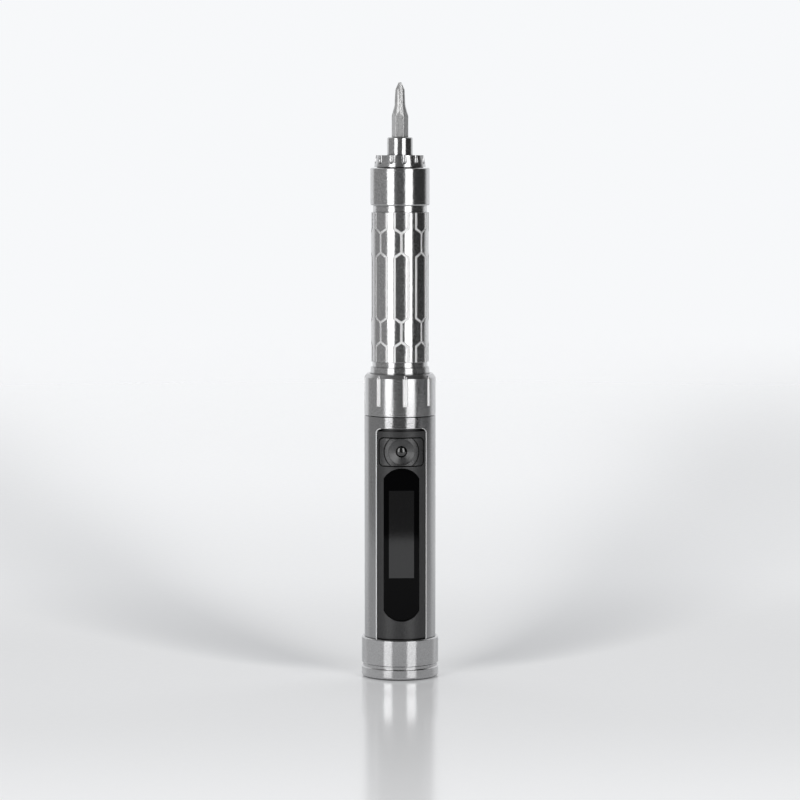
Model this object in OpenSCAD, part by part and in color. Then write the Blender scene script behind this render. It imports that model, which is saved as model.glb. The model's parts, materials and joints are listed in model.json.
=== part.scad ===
// Cordless torque screwdriver: a battery handle, a display panel with one button, and a slim front
// barrel that holds a motor, a three-stage planetary gearbox and a 4 mm hex bit holder.
// It stands on its tail cap. +Z runs up to the bit and the panel faces -Y.

/* [Tail cap] */
// How far the tail cap stands out from the tube
cap_step = 0.8; // [0.5:0.1:1.5]
// Height of the tail cap
cap_h = 11.4; // [10.4:0.1:13]
// Thickness of the tail cap's floor
cap_floor = 3; // [2.6:0.1:3.4]
// Radius of the rounded edge that the tool stands on
cap_fillet = 0.9; // [0.5:0.1:1.2]
// Chamfer round the tail cap's upper edge
cap_chamfer = 0.3; // [0.1:0.05:0.5]
// Height of the middle of the decorative groove
cap_groove_z = 3.5; // [3:0.1:5]
// Width of the decorative groove's floor
cap_groove_w = 0.7; // [0.4:0.1:1]
// Depth of the decorative groove, which has sloping sides
cap_groove_d = 0.3; // [0.2:0.05:0.5]

/* [Body tube] */
// Outer radius of the body tube
tube_r = 10; // [9:0.05:11]
// Wall of the body tube
tube_wall = 1.2; // [1.1:0.05:1.3]
// Length of the body tube between the tail cap and the coupling nut
tube_len = 62.3; // [56:0.1:70]
// How far the thread in the tail cap is set in from the tube's surface
tail_thread_step = 0.8; // [0.6:0.05:0.9]
// Length of the thread that screws into the tail cap
tail_thread_len = 6.5; // [4:0.1:7]
// How far the thread under the coupling nut is set in from the tube's surface
neck_thread_step = 0.9; // [0.8:0.05:1]
// Length of the thread under the coupling nut
neck_thread_len = 5.2; // [4:0.1:5.6]
// Wall of the tube's neck, which the grip's pilot enters
neck_wall = 0.8; // [0.7:0.05:0.9]

/* [Window] */
// Width of the window in the tube, straight across
window_w = 13.9; // [13.8:0.05:14]
// Metal left between the window and the tube's upper end
window_bridge = 3.1; // [2.6:0.1:3.6]
// Radius of the window's upper corners
window_corner = 1.3; // [0.8:0.1:1.6]

/* [Coupling nut] */
// How far the coupling nut stands out from the tube
nut_step = 0; // [0:0.1:0.5]
// Length of the coupling nut
nut_len = 11.5; // [11:0.1:13]
// Open seam under the coupling nut
nut_seam = 0.3; // [0.2:0.05:0.5]
// Width of the chamfer on the coupling nut's upper edge
nut_chamfer_w = 0.75; // [0.4:0.05:0.8]
// Height of the chamfer on the coupling nut's upper edge
nut_chamfer_h = 1.05; // [0.5:0.05:1.2]
// Countersink in the coupling nut's upper face
nut_countersink = 0.3; // [0.2:0.05:0.4]
// Number of finger slots
slot_count = 8; // [6:1:10]
// Width of a finger slot
slot_w = 1.35; // [1:0.05:1.6]
// Depth of a finger slot
slot_d = 0.55; // [0.3:0.05:0.7]
// Length of a finger slot from the nut's upper face
slot_len = 8.8; // [7:0.1:9.6]
// Angle at which the coupling nut came up tight
nut_clock = 5.6; // [0:0.1:45]

/* [Grip] */
// Outer radius of the grip
grip_r = 8.05; // [7.3:0.05:8.8]
// Wall of the grip round the gearbox and the motor
grip_wall = 1.15; // [1:0.05:1.3]
// Length of the patterned grip
grip_len = 41.6; // [41:0.1:48]
// How far the neck under the pattern is set in from the grip's surface
grip_neck_step = 0.35; // [0.25:0.05:0.6]
// Length of the neck under the pattern
grip_neck_len = 1.6; // [1:0.1:2.4]
// Radial play of the grip's pilot in the body tube
pilot_play = 0.08; // [0.05:0.01:0.1]
// Length of pilot in view above the coupling nut
pilot_show = 1.8; // [1:0.1:2.4]
// Number of hexagon chains round the grip
cell_count = 8; // [6:1:9]
// Half of the angle that one hexagon covers
cell_half_angle = 14; // [12:0.5:15]
// Straight side of the long hexagon
cell_side = 16.9; // [14:0.1:18]
// Height of a hexagon's slanted end
cell_end = 1.3; // [1:0.1:1.6]
// Straight groove between two hexagons
cell_link = 5.3; // [4:0.1:6]
// Width of the engraved grooves
engrave_w = 0.64; // [0.4:0.02:0.8]
// Depth of the engraved grooves
engrave_d = 0.3; // [0.2:0.05:0.4]

/* [Front barrel] */
// Outer radius of the front barrel
barrel_r = 8.3; // [8.2:0.05:8.6]
// Length of the front barrel
barrel_len = 10.4; // [10:0.1:13]
// Chamfer at both ends of the front barrel
barrel_chamfer = 0.25; // [0.1:0.05:0.4]
// How far the waist is set in from the grip's surface
waist_step = 0.5; // [0.3:0.05:0.6]
// Length of the waist
waist_len = 2; // [1:0.1:3]
// Length of the thread that screws into the grip
spigot_len = 5; // [4:0.1:6]
// Outer radius of the spindle's bush
bush_r = 4.2; // [3.8:0.1:4.6]

/* [Nose] */
// Radius of the nose nut where it meets the front barrel
collar_base_r = 7.25; // [7:0.05:7.5]
// Radius of the nose nut's upper edge
collar_top_r = 6.65; // [6.5:0.05:6.8]
// Height of the nose nut above the front barrel
collar_h = 3.5; // [3:0.1:4]
// Plain band under the nose nut's notches
collar_band = 1.1; // [0.8:0.1:1.6]
// Number of notches
notch_count = 12; // [8:1:14]
// Radius of the cutter that made the notches
notch_r = 0.7; // [0.6:0.05:0.8]
// Depth of a notch at the nose nut's upper edge
notch_d = 0.3; // [0.1:0.05:0.4]
// Undercut between the nose nut and the front barrel
nose_seam = 0.25; // [0.1:0.05:0.4]
// Angle at which the nose nut came up tight
notch_clock = 7; // [0:0.5:30]
// Radius of the bit holder's nose
nose_r = 3.6; // [3.5:0.02:3.7]
// Length of the nose above the nose nut
nose_len = 5; // [4:0.1:7]

/* [Bit] */
// Size of the bit's hexagon across its flats
bit_flats = 4; // [3.8:0.05:4.1]
// Whole length of the bit
bit_len = 28; // [26:0.5:50]
// Depth of the bit holder's hexagon socket
socket_depth = 12.8; // [10:0.1:13.5]
// Length of the bit from the end of its hexagon to its tip
bit_reach = 9.8; // [9:0.1:11]
// Length of the round neck, tip included
bit_neck_len = 6.3; // [5:0.1:7]
// Radius of the round neck at its foot
bit_neck_r = 1.5; // [1.4:0.05:1.6]
// Radius of the shoulder under the cross tip
bit_tip_r = 1.32; // [1.2:0.02:1.36]
// Length of the cross tip's cone
bit_cone_len = 2; // [1.8:0.05:2.4]
// Radius of the cross tip's flat end
bit_end_r = 0.42; // [0.3:0.02:0.6]
// Radius of the cutter that made the cross tip's flutes
flute_r = 0.5; // [0.4:0.02:0.56]
// Metal left between the axis and a flute at the tip
flute_edge = 0.3; // [0.24:0.02:0.4]
// Angle of the flutes from the hexagon's flats
flute_clock = 13; // [0:1:45]
// Angle at which the spindle came to rest
spindle_clock = -6; // [-30:1:30]

/* [Spindle bearing] */
// Wall of the front barrel round the ball bearing
bearing_wall = 1.8; // [1.6:0.05:2]
// Width of the ball bearing
bearing_w = 4; // [3.5:0.1:4.5]
// Number of balls
ball_count = 12; // [8:1:14]
// Share of the bearing's depth that a ball takes
ball_share = 0.55; // [0.5:0.01:0.6]
// Radius of the spindle's rear journal
journal_r = 2.5; // [2.2:0.1:2.8]

/* [Gearbox] */
// Wall of the ring gear behind its teeth
ring_wall = 0.64; // [0.5:0.02:0.8]
// Pressure angle of the teeth
pressure_angle = 25; // [24:0.5:26]
// Play between two teeth
backlash = 0.05; // [0.03:0.01:0.08]
// Tooth width of the motor stage
face_1 = 2.6; // [2.2:0.1:3]
// Tooth width of the middle stage
face_2 = 3; // [2.6:0.1:3.4]
// Tooth width of the output stage
face_3 = 3.8; // [3.2:0.1:4.2]
// Thickness of a planet carrier's plate
plate_t = 1; // [0.8:0.1:1.3]
// Radius of a planet's pin
pin_r = 0.6; // [0.5:0.05:0.65]

/* [Motor] */
// Space between the motor and the grip's bore
motor_gap = 0.9; // [0.6:0.05:1.1]
// Length of the motor
motor_len = 22; // [18:0.5:25]
// Wall of the motor's can
motor_wall = 0.55; // [0.4:0.05:0.7]
// Radius of the motor's shaft
motor_shaft_r = 0.75; // [0.7:0.05:0.8]
// Thickness of the plate between the motor and the gearbox
motor_plate_t = 1.4; // [1.2:0.1:1.8]

/* [Panel] */
// Depth of the panel under the tube's surface
panel_recess = 0.2; // [0.1:0.05:0.3]
// Gap between the panel and the window's sides
panel_gap = 0.2; // [0.1:0.05:0.3]
// Open seam between the panel and the tail cap
panel_seam = 0.3; // [0.1:0.05:0.5]
// Height of the lens's lower end above the tail cap
lens_z = 5.3; // [4.5:0.1:6]
// Thickness of the flat lens
lens_t = 0.8; // [0.6:0.05:1]
// Depth of the lens under the panel's edge beside it
lens_recess = 0.05; // [0.02:0.01:0.15]
// Panel between the lens and the button
lens_gap = 0.8; // [0.7:0.05:1]
// Width of the lens
lens_w = 9.8; // [9.4:0.1:10]
// Radius of the lens's curved ends
lens_end_r = 5.6; // [5.2:0.1:6]
// Width of the display's lit area
screen_w = 7; // [6.4:0.1:7.4]
// Length of the display's lit area
screen_len = 24.6; // [22:0.1:25]
// Panel between the button's gap and the window's edge
button_rim = 0.4; // [0.35:0.05:0.8]
// Panel between the button and the window's upper edge
button_drop = 2.7; // [2.4:0.1:3]
// Height of the button
button_h = 7.6; // [7:0.1:7.8]
// Radius of the button's corners
button_corner = 1.1; // [0.8:0.1:1.4]
// Travel of the button
button_travel = 0.3; // [0.2:0.05:0.35]
// Outer radius of the engraved ring round the finger dish
dish_r = 5; // [4.8:0.05:5.2]
// Slope of the finger dish from its edge to the bead
dish_fall = 0.7; // [0.4:0.05:0.9]
// Radius of the finger dish
dish_inner_r = 3.6; // [3.2:0.1:4]
// Radius of the glossy bead in the button's middle
bead_r = 1.57; // [1.3:0.05:1.8]

/* [Inside the handle] */
// Wall of the chassis in front of the battery cell
cell_front_wall = 0.8; // [0.7:0.05:1]
// Space between the battery cell and the back of the tube
cell_back_gap = 0.2; // [0.15:0.05:0.4]
// Side wall of the panel beside the circuit board
panel_wall = 0.75; // [0.65:0.05:0.85]
// Thickness of the circuit board
board_t = 1; // [0.8:0.1:1.1]
// Thickness of the display module
display_t = 1.2; // [1:0.05:1.3]

/* [Fits] */
// Clearance between parts that are laid beside each other
loose = 0.1; // [0.08:0.01:0.14]
// Radial clearance of a running fit
running = 0.03; // [0.02:0.005:0.05]
// Clearance in a screwed joint
thread_play = 0.03; // [0.02:0.01:0.05]

/* [Hidden] */

// Circles are drawn this finely on screen.
$fn = 64;
// Overshoot that lets one shape cut cleanly through another.
over = 1;

// Heights of the seams, from the table up.
cap_r = tube_r + cap_step;
tube_z = cap_h;
nut_z = tube_z + tube_len;
nut_top = nut_z + nut_seam + nut_len;
neck_z = nut_top + pilot_show;
grip_z = neck_z + grip_neck_len;
waist_z = grip_z + grip_len;
barrel_z = waist_z + waist_len;
collar_z = barrel_z + barrel_len;
nose_z = collar_z + collar_h;
nose_top = nose_z + nose_len;
bit_z = nose_top - socket_depth;

// Body tube.
tube_bore_r = tube_r - tube_wall;
window_top = nut_z - window_bridge;
tail_thread_r = tube_r - tail_thread_step;
neck_thread_r = tube_r - neck_thread_step;
neck_bore_r = neck_thread_r - neck_wall;
neck_step_z = window_top + 0.9;
neck_top = nut_z + neck_thread_len;

// The grip's pilot stops just inside the tube's mouth, where it holds the chassis down.
pilot_z = nut_z + 0.8;
nut_r = tube_r + nut_step;
pilot_r = neck_bore_r - pilot_play;
grip_bore_r = grip_r - grip_wall;
grip_neck_r = grip_r - grip_neck_step;
waist_r = grip_r - waist_step;
slot_r = (slot_w * slot_w / 4 + slot_d * slot_d) / (2 * slot_d);
retainer_t = 1.4;
bit_bevel = 0.4;
retainer_slit = 1.6;
retainer_r = neck_thread_r - 0.1;
retainer_groove = 0.8;
lip_z = neck_top + retainer_t;
throat_wall = 3.2;
throat_r = pilot_r - throat_wall;

// Panel layers, as distances in front of the tool's axis.
panel_r = tube_r - panel_recess;
panel_half_w = window_w / 2 - panel_gap;
lens_face = sqrt(panel_r * panel_r - lens_w * lens_w / 4) - lens_recess;
lens_back = lens_face - lens_t;
display_front = lens_back - 0.5;
display_back = display_front - display_t;
board_front = tube_r - 4.4;
board_back = board_front - board_t;
wing_back = board_back - 0.4;
wing_half_w = tube_bore_r - 1.2;
cavity_half_w = panel_half_w - panel_wall;
cavity_front = board_front + 0.9;
board_w = 2 * (cavity_half_w - loose);

// Panel heights.
lens_bottom = tube_z + lens_z;
button_z = window_top - button_drop - button_h / 2;
button_gap = 0.3;
button_w = 2 * (panel_half_w - button_rim - button_gap);
lens_top = button_z - button_h / 2 - lens_gap;
lens_len = lens_top - lens_bottom;
screen_top = lens_top - 6;
screen_bottom = screen_top - screen_len;
display_w = screen_w + 3;
display_top = screen_top + 2.2;
display_bottom = screen_bottom - 3.2;
button_back = board_front + 1.1;
tab_front = button_back + 0.4;
tab_half_w = 4;
tab_reach = button_gap + 0.55;
switch_front = button_back - 0.6;
dish_edge = sqrt(panel_r * panel_r - dish_inner_r * dish_inner_r) - 0.05;
dish_floor = dish_edge - dish_fall;
bead_seat = dish_floor - 0.4;
bead_curve_r = bead_r * 1.46;
ring_w = 0.28;
ring_d = 0.25;

// Inside the handle.
chassis_r = tube_bore_r - loose;
cell_r = (tube_bore_r - cell_back_gap + wing_back - cell_front_wall) / 2;
cell_y = tube_bore_r - cell_back_gap - cell_r;
cell_z = cap_floor + 13;
cell_top = button_z - button_h / 2 - 2.3;
cell_len = cell_top - cell_z;
cell_cap_h = 0.6;
cell_cap_step = 2.5;
rib_h = 3;
strip_w = 3;
strip_t = 0.15;
strip_tail = 2;
board_z = tube_z + 0.6;
board_top = window_top - 0.8;
chassis_shoulder = window_top - 4;
usb_w = 8.94;
usb_t = 3.16;
usb_wall = 0.3;
usb_mouth = 0.4;
usb_len = 7.2;
usb_board_t = 0.8;
usb_board_z = cap_floor + 0.4;
usb_board_w = 11;
usb_board_len = 9;
usb_tongue_w = 6.7;
usb_tongue_t = 0.7;
usb_tongue_set = 1;
tab_slot = 0.4;
lead_r = 0.45;
lead_x = 1.5;
lead_bend = 1.6;
lead_z = board_top - 1.8;
lead_way = 1.2;
lead_duct_r = 3.2;
lead_duct_front = 2;
screw_x = board_w / 2 - 1.5;
screw_head_r = 1.1;
screw_head_t = 0.5;
screw_r = 0.7;
screw_len = 3.4;

// Gear train. Each stage has the same tooth counts and turns four times faster than the one above.
sun_teeth = 12;
ring_teeth = 36;
planet_teeth = (ring_teeth - sun_teeth) / 2;
planet_count = 3;
planet_angles = [for (i = [0 : planet_count - 1]) i * 360 / planet_count];
gear_module = (grip_bore_r - loose - ring_wall) / (ring_teeth / 2 + 1.25);
orbit_r = gear_module * (sun_teeth + planet_teeth) / 2;
faces = [face_1, face_2, face_3];
gear_gap = 0.15;
carrier_rim = 1.2;
carrier_r = orbit_r + carrier_rim;
hub_r = 3.2;
hub_len = 2.4;
hub_top_gap = 0.25;
gearbox_top = waist_z - spigot_len;
// Top of each stage's plate, and of its planets, from the motor stage up.
plate_3 = gearbox_top - gear_gap;
planets_3 = plate_3 - plate_t - gear_gap;
plate_2 = planets_3 - face_3 - gear_gap;
planets_2 = plate_2 - plate_t - gear_gap;
plate_1 = planets_2 - face_2 - gear_gap;
planets_1 = plate_1 - plate_t - gear_gap;
plate_tops = [plate_1, plate_2, plate_3];
planet_tops = [planets_1, planets_2, planets_3];
gearbox_z = planets_1 - face_1 - gear_gap;

// Motor.
motor_r = grip_bore_r - motor_gap;
motor_top = gearbox_z - motor_plate_t;
motor_z = motor_top - motor_len;
motor_face = 0.8;
boss_r = 2.4;
boss_h = 1;
end_cap_t = 2.4;
winding_r = motor_r - motor_wall - 0.35;
winding_wall = 0.6;
winding_floor = 0.8;
winding_z = motor_z + 5;
winding_gap = 0.4;
motor_bush_r = 1.4;
commutator_len = 2;
motor_screw_x = motor_r * 0.7;
motor_screw_r = 0.8;
motor_head_r = 1.4;
motor_head_t = 0.7;
brush_x = 2.6;
brush_w = 1.4;
brush_t = 0.3;
terminal_len = 1.4;

// Spindle.
nose_thread_len = 4.2;
nose_thread_step = 0.3;
bearing_r = barrel_r - bearing_wall;
bearing_top = collar_z - nose_thread_len;
bearing_z = bearing_top - bearing_w;
bearing_bore_r = nose_r;
bearing_ledge = 0.9;
ball_orbit_r = (bearing_r + bearing_bore_r) / 2;
ball_r = (bearing_r - bearing_bore_r) / 2 * ball_share;
cage_half_t = 0.3;
cage_half_h = 1.3;
race_play = 0.02;
shoulder_r = nose_r + 0.8;
shoulder_t = 1.4;
flange_t = 0.8;
flange_gap = 0.4;
flange_top = bearing_z - shoulder_t - loose;
nose_chamfer = 0.3;
tail_flats = 3.4;
socket_play = 0.05;
magnet_r = 1.5;
magnet_t = 2;

// ---- Shared shapes ----

// A disc, or a tube where hole_r is given, between two heights.
module disc(r, z0, z1, hole_r = 0) {
    translate([0, 0, z0]) difference() {
        cylinder(r = r, h = z1 - z0);
        if (hole_r > 0)
            translate([0, 0, -over]) cylinder(r = hole_r, h = z1 - z0 + 2 * over);
    }
}

// A disc with both edges bevelled.
module bevelled_disc(r, z0, z1, bevel) {
    disc(r, z0 + bevel, z1 - bevel);
    translate([0, 0, z0]) cylinder(r1 = r - bevel, r2 = r, h = bevel);
    translate([0, 0, z1 - bevel]) cylinder(r1 = r, r2 = r - bevel, h = bevel);
}

// An upright hexagonal bar, given across its flats, with a flat towards -Y.
module hex_bar(flats, z0, z1) {
    translate([0, 0, z0]) rotate(0) cylinder(r = flats / sqrt(3), h = z1 - z0, $fn = 6);
}

// A flat shape drawn as the panel is seen, [x, z], as a block from near to far in front of the axis.
module front_block(near, far) {
    translate([0, -near, 0]) rotate([90, 0, 0]) linear_extrude(far - near) children();
}

// A rectangle with rounded corners, centred across, with its lower edge at height z0.
module soft_rectangle(w, z0, z1, r) {
    translate([-w / 2 + r, z0]) square([w - 2 * r, z1 - z0]);
    translate([-w / 2, z0 + r]) square([w, z1 - z0 - 2 * r]);
    for (x = [-1, 1], z = [z0 + r, z1 - r]) translate([x * (w / 2 - r), z]) circle(r);
}

// The window as seen from the front, open at the foot.
module window_outline(shrink) {
    half_w = window_w / 2 - shrink;
    corner = window_corner - shrink;
    top = window_top - shrink;
    translate([-half_w, 0]) square([2 * half_w, top - corner]);
    translate([-half_w + corner, 0]) square([2 * (half_w - corner), top]);
    for (x = [-1, 1]) translate([x * (half_w - corner), top - corner]) circle(corner);
}

// The lens as seen from the front: straight sides between two arcs.
module lens_outline(grow) {
    r = lens_end_r + grow;
    intersection() {
        translate([-lens_w / 2 - grow, lens_bottom - grow])
            square([lens_w + 2 * grow, lens_len + 2 * grow]);
        union() {
            translate([-r, lens_bottom + lens_end_r]) square([2 * r, lens_len - 2 * lens_end_r]);
            for (z = [lens_bottom + lens_end_r, lens_top - lens_end_r]) translate([0, z]) circle(r);
        }
    }
}

// ---- Gear teeth ----

// Angle, in degrees, that an involute has turned by at a radius.
function involute(base_r, r) =
    let (t = sqrt(max(0, pow(r / base_r, 2) - 1))) t * 180 / PI - atan(t);

// Outline of a spur gear with a tooth on +X. play thins every tooth, and a negative play widens it.
function gear_points(teeth, tip, root, play) =
    let (
        pitch_r = gear_module * teeth / 2,
        base_r = pitch_r * cos(pressure_angle),
        low = max(base_r, root),
        steps = 4,
        radii = concat(
            root < base_r ? [root] : [],
            [for (i = [0 : steps]) low + (tip - low) * i / steps]
        ),
        last = len(radii) - 1,
        middle = 90 / teeth - play / pitch_r * 90 / PI + involute(base_r, pitch_r)
    ) [
        for (tooth = [0 : teeth - 1], side = [-1, 1], i = [0 : last])
            let (
                r = radii[side < 0 ? i : last - i],
                a = tooth * 360 / teeth + side * (middle - involute(base_r, r))
            ) r * [cos(a), sin(a)]
    ];

// A sun or planet gear.
module spur_gear(teeth, height) {
    pitch_r = gear_module * teeth / 2;
    linear_extrude(height)
        polygon(gear_points(teeth, pitch_r + gear_module, pitch_r - 1.25 * gear_module, backlash / 2));
}

// ---- Handle ----

module usb_outline(grow) {
    translate([0, -usb_t / 2 - grow])
        soft_rectangle(usb_w + 2 * grow, 0, usb_t + 2 * grow, usb_t / 2 + grow - 0.01);
}

module tail_cap() {
    color("silver") difference() {
        union() {
            disc(cap_r, cap_fillet, cap_h - cap_chamfer);
            disc(cap_r - cap_fillet, 0, cap_fillet);
            translate([0, 0, cap_fillet]) rotate_extrude() translate([cap_r - cap_fillet, 0])
                intersection() {
                    circle(cap_fillet);
                    translate([0, -cap_fillet]) square(cap_fillet);
                }
            translate([0, 0, cap_h - cap_chamfer])
                cylinder(r1 = cap_r, r2 = cap_r - cap_chamfer, h = cap_chamfer);
        }
        disc(tail_thread_r + thread_play, cap_floor, cap_h + over);
        translate([0, 0, cap_groove_z]) rotate_extrude() polygon([
            [cap_r - cap_groove_d, -cap_groove_w / 2],
            [cap_r + cap_groove_d, -cap_groove_w / 2 - 2 * cap_groove_d],
            [cap_r + cap_groove_d, cap_groove_w / 2 + 2 * cap_groove_d],
            [cap_r - cap_groove_d, cap_groove_w / 2]
        ]);
        translate([0, 0, -over]) linear_extrude(cap_floor + 2 * over) usb_outline(loose);
    }
}

module usb_shell() {
    color("lightgray") translate([0, 0, usb_mouth]) difference() {
        linear_extrude(usb_len) usb_outline(0);
        translate([0, 0, -over]) linear_extrude(usb_len - usb_wall + over) usb_outline(-usb_wall);
    }
}

module usb_tongue() {
    color("black") translate([-usb_tongue_w / 2, -usb_tongue_t / 2, usb_mouth + usb_tongue_set])
        cube([usb_tongue_w, usb_tongue_t, usb_len - usb_wall - usb_tongue_set]);
}

module usb_board() {
    color("darkgreen") translate([-usb_board_w / 2, usb_t / 2, usb_board_z])
        cube([usb_board_w, usb_board_t, usb_board_len]);
}

module body_tube() {
    color("gray") difference() {
        union() {
            disc(tube_r, tube_z, nut_z);
            disc(tail_thread_r, tube_z - tail_thread_len, tube_z);
            disc(neck_thread_r, nut_z, neck_top);
        }
        disc(tube_bore_r, tube_z - tail_thread_len - over, neck_step_z);
        disc(neck_bore_r, neck_step_z - over, neck_top + over);
        front_block(0, tube_r + over) window_outline(0);
    }
}

// A moulded frame that stands on the tail cap's floor and stops under the grip.
module chassis() {
    cell_pocket_r = cell_r + loose;
    pocket_z = cell_z - tab_slot;
    pocket_len = cell_len + 2 * tab_slot;
    slot_half_w = strip_w / 2 + loose;
    usb_half_w = usb_board_w / 2 + loose;
    color("dimgray") difference() {
        union() {
            difference() {
                union() {
                    disc(chassis_r, cap_floor, chassis_shoulder);
                    disc(neck_bore_r - loose, chassis_shoulder, pilot_z);
                }
                translate([-tube_r, -tube_r, 0]) cube([2 * tube_r, tube_r - wing_back, 2 * nut_z]);
            }
            // ribs that carry the circuit board
            for (z = [board_z, cell_top + 1])
                translate([-board_w / 2, -board_back, z]) cube([board_w, board_back, rib_h]);
        }
        translate([0, cell_y, pocket_z]) cylinder(r = cell_pocket_r, h = pocket_len);
        translate([-cell_pocket_r, cell_y, pocket_z])
            cube([2 * cell_pocket_r, tube_r, pocket_len]);
        // slots for the cell's tabs
        for (z = [pocket_z, cell_top])
            translate([-slot_half_w, -tube_r, z]) cube([2 * slot_half_w, 2 * tube_r, tab_slot]);
        // room for the charging socket and its board
        translate([-usb_half_w, -usb_t / 2 - loose, 0])
            cube([2 * usb_half_w, usb_t + usb_board_t + 2 * loose, usb_board_z + usb_board_len + loose]);
        // way through for the motor's leads
        translate([-lead_duct_r, -tube_r, lead_z - lead_way])
            cube([2 * lead_duct_r, tube_r - lead_duct_front, nut_z]);
        disc(lead_duct_r, cell_top + 1.5 * rib_h, nut_top);
        board_screw_holes();
    }
}

module board_screw_shape(r, from, to) {
    for (x = [-screw_x, screw_x], z = [board_z + rib_h / 2, cell_top + 1 + rib_h / 2])
        translate([x, -from, z]) rotate([90, 0, 0]) cylinder(r = r, h = to - from);
}

module board_screw_holes() {
    board_screw_shape(screw_r, board_front - screw_len, board_front + over);
}

module board_screws() {
    color("lightgray") {
        board_screw_shape(screw_r, board_front - screw_len, board_front);
        board_screw_shape(screw_head_r, board_front, board_front + screw_head_t);
    }
}

module circuit_board() {
    color("darkgreen") difference() {
        translate([-board_w / 2, -board_front, board_z]) cube([board_w, board_t, board_top - board_z]);
        board_screw_holes();
    }
}

// [x, z, width, height, thickness] of the parts soldered on the board's front.
chips = [
    [0, board_z + 5.4, 5, 5, 0.8], [-4.2, board_z + 8, 1.6, 3.2, 0.6], [4.2, board_z + 8, 1.6, 3.2, 0.6],
    [0, board_z + 11, 6, 1.6, 0.6], [0, board_top - 1.4, 6, 1.6, 0.8], [-4.6, board_top - 3, 1.2, 2, 0.5]
];

module board_chips() {
    color("black") for (c = chips)
        translate([c[0] - c[2] / 2, -board_front - c[4], c[1] - c[3] / 2]) cube([c[2], c[4], c[3]]);
}

module battery_cell() {
    color("slateblue") translate([0, cell_y, 0]) {
        disc(cell_r, cell_z, cell_top - cell_cap_h);
        disc(cell_r - cell_cap_step, cell_top - cell_cap_h, cell_top);
    }
}

module battery_tabs() {
    color("lightgray") for (end = [0, 1]) {
        z = end == 0 ? cell_z - strip_t : cell_top;
        translate([-strip_w / 2, -board_back, z]) cube([strip_w, board_back + cell_y + strip_tail, strip_t]);
    }
}

module switch_body() {
    half = 2.2;
    color("dimgray") difference() {
        translate([-half, -switch_front, button_z - half])
            cube([2 * half, switch_front - board_front, 2 * half]);
        front_block(0, tube_r) translate([0, button_z]) circle(1.1);
    }
}

module switch_plunger() {
    color("black") front_block(switch_front - 0.1, button_back) translate([0, button_z]) circle(1);
}

module display_module() {
    color("black") translate([-display_w / 2, -display_front, display_bottom])
        cube([display_w, display_t, display_top - display_bottom]);
}

// The display's ribbon leaves its lower edge and folds back onto the board.
module display_ribbon() {
    ribbon_w = 5;
    ribbon_t = 0.12;
    far = (display_front + display_back) / 2 + ribbon_t / 2;
    near = board_front + ribbon_t;
    fold_r = (far - board_front) / 2;
    color("chocolate") {
        translate([-ribbon_w / 2, -far, display_bottom - 1])
            cube([ribbon_w, ribbon_t, 1]);
        translate([-ribbon_w / 2, -near, display_bottom - 1])
            cube([ribbon_w, ribbon_t, 2]);
        translate([ribbon_w / 2, -board_front - fold_r, display_bottom - 1]) rotate([0, -90, 0])
            rotate([0, 0, 90]) rotate_extrude(angle = 180)
                translate([fold_r - ribbon_t, 0]) square([ribbon_t, ribbon_w]);
    }
}

module lens() {
    color("black") front_block(lens_back, lens_face) lens_outline(0);
}

// The panel slides into the tube from the tail and is held behind the window's edges.
module fascia() {
    seat = tube_z + panel_seam;
    front_top = window_top - 0.8;
    wing_top = neck_step_z - loose;
    wing_bottom = tube_z - tail_thread_len;
    color("dimgray") difference() {
        intersection() {
            union() {
                intersection() {
                    disc(panel_r, seat, front_top);
                    front_block(wing_back, tube_r) translate([-panel_half_w, 0])
                        square([2 * panel_half_w, front_top]);
                }
                intersection() {
                    disc(tube_bore_r - loose, wing_bottom, wing_top);
                    front_block(wing_back, tube_r) translate([-wing_half_w, 0])
                        square([2 * wing_half_w, wing_top]);
                }
            }
        }
        front_block(0, cavity_front) translate([-cavity_half_w, 0])
            square([2 * cavity_half_w, board_top + loose]);
        // display and the window in front of it
        front_block(0, display_front + loose) translate([-display_w / 2 - loose, display_bottom - 3])
            square([display_w + 2 * loose, display_top - display_bottom + 3 + loose]);
        front_block(0, tube_r) translate([-screen_w / 2 - 0.3, screen_bottom - 0.3])
            square([screen_w + 0.6, screen_len + 0.6]);
        front_block(lens_back, tube_r + over) lens_outline(loose);
        // button and its tabs
        front_block(button_back - 0.5, tube_r + over) button_outline(button_gap);
        front_block(button_back - 0.5, tab_front + 0.02) button_tabs(loose);
    }
}

module button_outline(grow) {
    translate([0, button_z - button_h / 2 - grow])
        soft_rectangle(button_w + 2 * grow, 0, button_h + 2 * grow, button_corner + grow);
}

module button_tabs(grow) {
    half_h = button_h / 2 + tab_reach + grow;
    translate([-tab_half_w - grow, button_z - half_h]) square([2 * (tab_half_w + grow), 2 * half_h]);
}

module button_cap() {
    color("darkgray") difference() {
        union() {
            intersection() {
                disc(panel_r, button_z - button_h, button_z + button_h);
                front_block(button_back, tube_r + over) button_outline(0);
            }
            front_block(button_back, tab_front) button_tabs(0);
        }
        translate([0, 0, button_z]) rotate([90, 0, 0]) {
            // the finger dish falls to the bead's seat
            translate([0, 0, dish_edge]) cylinder(r = dish_inner_r, h = tube_r);
            translate([0, 0, dish_floor])
                cylinder(r1 = bead_r, r2 = dish_inner_r, h = dish_edge - dish_floor);
            translate([0, 0, bead_seat]) cylinder(r = bead_r, h = over);
        }
        // the engraved ring follows the curved surface
        intersection() {
            disc(tube_r + over, button_z - button_h, button_z + button_h, panel_r - ring_d);
            front_block(button_back, tube_r + over) translate([0, button_z]) difference() {
                circle(dish_r);
                circle(dish_r - ring_w);
            }
        }
    }
}

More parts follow.
